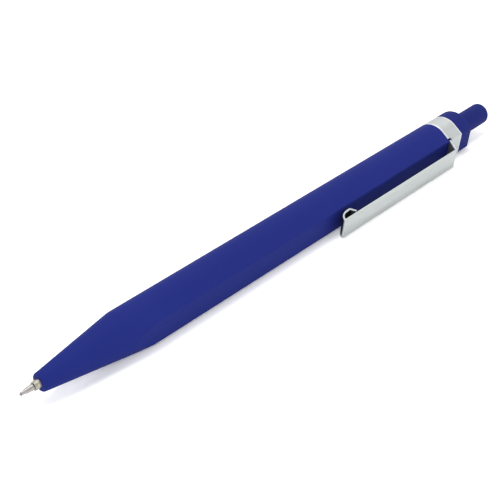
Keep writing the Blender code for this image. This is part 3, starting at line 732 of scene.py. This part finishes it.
def make_clip():
    """Band and clip as one pressing: a ring of sheet, with a tab that bends out of it between two notches.

    The ring's two skins are the section at insets 0 and SHEET. The tab's skins stand half the
    sheet's thickness either side of the clip's corners, across the flat's own columns, and narrow
    evenly along the web to CLIP_WIDTH.
    """
    corners = clip_corners()
    root_x = corners[0, 0]
    rim_front, rim_back = barrel_back + SEAM, cap_front - SEAM
    ring_x = np.r_[rim_back, np.linspace(rim_back - BAND_RIM, root_x, BAND_ROWS)]
    front_x = np.array((root_x, rim_front + BAND_RIM, rim_front))
    around = len(outline(0.0)[0])
    open_ring = np.r_[lower_end + 1 + NOTCH_COLUMNS:around, 0:upper_start - NOTCH_COLUMNS]
    tab_z = outline(0.0)[1][clip_start:clip_end + 1]
    skins = []
    for inset, side in ((0.0, SHEET / 2), (SHEET, -SHEET / 2)):
        ring = outline_rows(ring_x, [inset] * len(ring_x))
        front = outline_rows(front_x, [inset] * len(front_x))[:, open_ring]
        skin = skin_path(corners, side)
        width = np.interp(skin[:, :1], corners[2:0:-1, 0], (CLIP_WIDTH, 1.0))
        grid = np.broadcast_arrays(skin[:, :1], -barrel_radius - skin[:, 1:], width * tab_z)
        tab = np.stack(grid, axis=-1)
        tab[0] = ring[-1, clip_start:clip_end + 1]
        skins.append(np.vstack([block.reshape(-1, 3) for block in (ring, front, tab)]))
    ring_cells = quads_of(len(ring_x), around, wrap_columns=True)
    front_cells = quads_of(len(front_x), len(open_ring), first=len(ring_x) * around)
    tab_first = len(ring_x) * around + len(front_x) * len(open_ring)
    tab_cells = quads_of(len(skin), len(tab_z), first=tab_first)
    cells = np.vstack((ring_cells, front_cells, tab_cells))
    crest_x = corners[-2, 0]
    marks = clip_marks(*skins, tab_first, len(tab_z), crest_x, rim_front, rim_back)
    outer, inner = (place(*skin.T) for skin in skins)
    mesh = sheet_mesh("clip_pressing", outer, inner, cells, marks)
    piece = add_piece("clip_pressing", mesh, clip_metal, "satin_metal", "clip_band", "clip_arm")
    start = place(barrel_back, -barrel_radius, 0.0)
    end = place(barrel_back - FLEX_RUN, -barrel_radius, 0.0)
    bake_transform(piece)


# Button and refill

def make_button():
    """Push button, a turned half outline: crowned end, long side, stop flange and blind bore."""
    crown_x = button_back - BUTTON_CROWN
    flange_x = button_front + FLANGE
    roof_x = button_back - BUTTON_ROOF
    path = round_corners([(button_back, 0.0), (button_back - CROWN_DROP, CROWN_MIDDLE, CROWN_ROUND),
                          (crown_x, BUTTON_RADIUS, BUTTON_ROUND), (flange_x, BUTTON_RADIUS, TINY_ROUND),
                          (flange_x, FLANGE_RADIUS, TINY_ROUND), (button_front, FLANGE_RADIUS, TINY_ROUND),
                          (button_front, BUTTON_BORE, TINY_ROUND), (roof_x, BUTTON_BORE, TINY_ROUND),
                          (roof_x, 0.0)])
    add_turned("push_button_shell", path, SIDES, tail_plastic, "blue_plastic", "push_button", "button",
               closed=False)


def make_tube():
    """Ink tube, a turned ring, with ink and grease as turned rods inside it."""
    tube = round_corners([(tube_front, TUBE_BORE, TINY_ROUND), (tube_front, TUBE_RADIUS, TUBE_ROUND),
                          (tube_back, TUBE_RADIUS, TUBE_ROUND), (tube_back, TUBE_BORE, TINY_ROUND)],
                         closed=True)
    add_turned("ink_tube", tube, SMALL_SIDES, tube_plastic, "clear_tube", "refill_tube", "refill")
    fills = (("ink_fill", "ink_column", ink_front, ink_back, ink_fill, "ink"),
             ("grease_plug", "ink_follower", grease_front, grease_back, grease_fill, "follower_grease"))
    for name, node, front, back, finish, slot in fills:
        rod = round_corners([(front, 0.0), (front, FILL_RADIUS, FILL_ROUND),
                             (back, FILL_RADIUS, FILL_ROUND), (back, 0.0)])
        add_turned(name, rod, SMALL_SIDES, finish, slot, node, "refill", closed=False)


def make_point():
    """Collar, tip and ball, all turned: a ring, a stepped cone with a pocket, and a half circle."""
    socket = round_corners([(collar_front, COLLAR_BORE, TINY_ROUND),
                            (collar_front, COLLAR_RADIUS, COLLAR_ROUND),
                            (socket_back, COLLAR_RADIUS, TUBE_ROUND),
                            (socket_back, COLLAR_BORE, TINY_ROUND)], closed=True)
    add_turned("tip_collar", socket, SMALL_SIDES, collar_metal, "nickel_brass", "tip_socket", "refill")
    pocket = BALL_RADIUS + BALL_ROOM
    flare_x = TIP_NIB + TIP_FLARE
    base_x = collar_front - SEAM
    tip = round_corners([(tip_back, 0.0), (tip_back, TIP_SHANK, TINY_ROUND), (base_x, TIP_SHANK, TIP_EDGE),
                         (base_x, TIP_BASE, BASE_ROUND), (flare_x, TIP_WAIST, FLARE_ROUND),
                         (TIP_NIB, TIP_LIP, NIB_ROUND), (tip_front, TIP_LIP, TIP_EDGE),
                         (tip_front, pocket, POCKET_ROUND), (2 * BALL_RADIUS + BALL_ROOM, pocket, TIP_EDGE),
                         (2 * BALL_RADIUS + pocket, 0.0)])
    add_turned("writing_point", tip, SMALL_SIDES, tip_metal, "tip_metal", "writing_tip", "refill",
               closed=False)
    turn = np.linspace(0, math.pi, BALL_STEPS + 1)
    ball = np.stack((BALL_RADIUS - BALL_RADIUS * np.cos(turn), BALL_RADIUS * np.sin(turn)), axis=1)
    add_turned("writing_ball", ball, SMALL_SIDES, ball_metal, "ball_metal", "tip_ball", "ball",
               closed=False)


def make_spring():
    """Return spring: a circle of wire carried along an even helix, closed at both ends."""
    count = COIL_TURNS * COIL_POINTS
    share = np.linspace(0, 1, count + 1)
    angle = 2 * math.pi * COIL_TURNS * share
    x = spring_front + WIRE + (spring_back - spring_front - 2 * WIRE) * share
    middle = np.stack((x, COIL_RADIUS * np.cos(angle), COIL_RADIUS * np.sin(angle)), axis=1)
    run = np.gradient(middle, axis=0)
    run /= np.linalg.norm(run, axis=1, keepdims=True)
    out = np.stack((np.zeros_like(angle), np.cos(angle), np.sin(angle)), axis=1)
    side = np.cross(run, out)
    turn = np.arange(WIRE_SIDES) * (2 * math.pi / WIRE_SIDES)
    ring = out[:, None] * np.cos(turn)[:, None] + side[:, None] * np.sin(turn)[:, None]
    skin = middle[:, None] + WIRE * ring
    poles = np.repeat(middle[[0, -1], None], WIRE_SIDES, axis=1)
    rows = np.concatenate((poles[:1], skin, poles[1:]))
    points = place(rows[..., 0], rows[..., 1], rows[..., 2])
    quads = quads_of(len(rows), WIRE_SIDES, wrap_columns=True)
    mesh = new_mesh("coil_spring", points, quads, sharp=WIRE_SHARP)
    piece = add_piece("coil_spring", mesh, wire_metal, "spring_steel", "return_spring")
    start, end = place(spring_front, 0.0, 0.0), place(spring_back, 0.0, 0.0)
    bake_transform(piece)


make_barrel()
make_end_cap()
make_clip()
make_button()
make_tube()
make_point()
make_spring()

# The hidden click mechanism keeps its solids, in white plastic
for node in ("plunger_cam", "rotor_cam", "guide_sleeve"):
    shown = frame["nodes"][node]
    shown.data.materials.clear()
    shown.data.materials.append(white_plastic)


# Floor, light and camera

WHITE = (1.0, 1.0, 1.0, 1.0)
FLOOR_SIZE = 6.0
FLOOR_TONE = (0.92, 0.92, 0.92, 1.0)
FLOOR_ROUGHNESS = 0.9
FLOOR_GLOW = 0.20            # the floor is a light table
BRIGHT_SIDE = (1.0, 0.0, 0.0)
BRIGHT = 1.38                # surroundings past the button
DIM = 0.35                   # surroundings past the writing point
DIM_EDGE = -0.3              # cosine to the bright side up to which they stay dim
LAMP_SIZE = 0.6
LAMPS = (("top_lamp", (0.0, 0.0, 1.2), 7.4),
         ("edge_lamp", (0.75, 0.12, 0.96), 0.5),
         ("front_lamp", (-0.73, -0.78, 0.62), 7.0),
         ("rear_lamp", (-0.50, 0.90, 0.60), 5.2))
CAMERA_PLACE = Vector((-0.16178, -0.15911, 0.11604))
CAMERA_AIM = Vector((-0.01132, 0.00293, 0.0046))
CAMERA_ROLL = math.radians(-8.7075)
LENS = 86.472
NEAR_CLIP = 0.01


def make_floor():
    """A plain white floor under the pen, lit a little from below so that shadows stay soft."""
    half = FLOOR_SIZE / 2
    corners = [(-half, -half, 0), (half, -half, 0), (half, half, 0), (-half, half, 0)]
    mesh = bpy.data.meshes.new("floor")
    mesh.from_pydata(corners, [], [(0, 1, 2, 3)])
    floor = bpy.data.objects.new("floor", mesh)
    bpy.context.scene.collection.objects.link(floor)
    material = bpy.data.materials.new("white_floor")
    material.use_nodes = True
    shader = material.node_tree.nodes["Principled BSDF"]
    shader.inputs["Base Color"].default_value = FLOOR_TONE
    shader.inputs["Roughness"].default_value = FLOOR_ROUGHNESS
    shader.inputs["Specular IOR Level"].default_value = 0.0
    shader.inputs["Emission Color"].default_value = WHITE
    shader.inputs["Emission Strength"].default_value = FLOOR_GLOW
    mesh.materials.append(material)


def make_lights():
    """White surroundings, brightest past the button, and round soft lamps aimed at the pen."""
    world = bpy.data.worlds.new("white_studio")
    world.use_nodes = True
    tree = world.node_tree
    direction = tree.nodes.new("ShaderNodeTexCoord")
    facing = tree.nodes.new("ShaderNodeVectorMath")
    facing.operation = "DOT_PRODUCT"
    facing.inputs[1].default_value = BRIGHT_SIDE
    shade = tree.nodes.new("ShaderNodeMapRange")
    shade.interpolation_type = "SMOOTHSTEP"
    shade.inputs["From Min"].default_value = DIM_EDGE
    shade.inputs["To Min"].default_value = DIM
    shade.inputs["To Max"].default_value = BRIGHT
    background = tree.nodes["Background"]
    background.inputs["Color"].default_value = WHITE
    tree.links.new(direction.outputs["Generated"], facing.inputs[0])
    tree.links.new(facing.outputs["Value"], shade.inputs["Value"])
    tree.links.new(shade.outputs["Result"], background.inputs["Strength"])
    bpy.context.scene.world = world
    for name, spot, power in LAMPS:
        lamp = bpy.data.lights.new(name, "AREA")
        lamp.shape = "DISK"
        lamp.size = LAMP_SIZE
        lamp.energy = power
        holder = bpy.data.objects.new(name, lamp)
        holder.location = spot
        holder.rotation_euler = (-Vector(spot)).to_track_quat("-Z", "Y").to_euler()
        bpy.context.scene.collection.objects.link(holder)


def make_camera():
    """The photograph's viewpoint: a long lens close to the desk, rolled a little."""
    lens = bpy.data.cameras.new("camera")
    lens.lens = LENS
    lens.clip_start = NEAR_CLIP
    camera = bpy.data.objects.new("camera", lens)
    camera.location = CAMERA_PLACE
    level = (CAMERA_AIM - CAMERA_PLACE).to_track_quat("-Z", "Y")
    camera.rotation_euler = (level @ Quaternion((0.0, 0.0, 1.0), CAMERA_ROLL)).to_euler()
    bpy.context.scene.collection.objects.link(camera)
    bpy.context.scene.camera = camera


make_floor()
make_lights()
make_camera()
bpy.context.scene.view_settings.view_transform = "Standard"
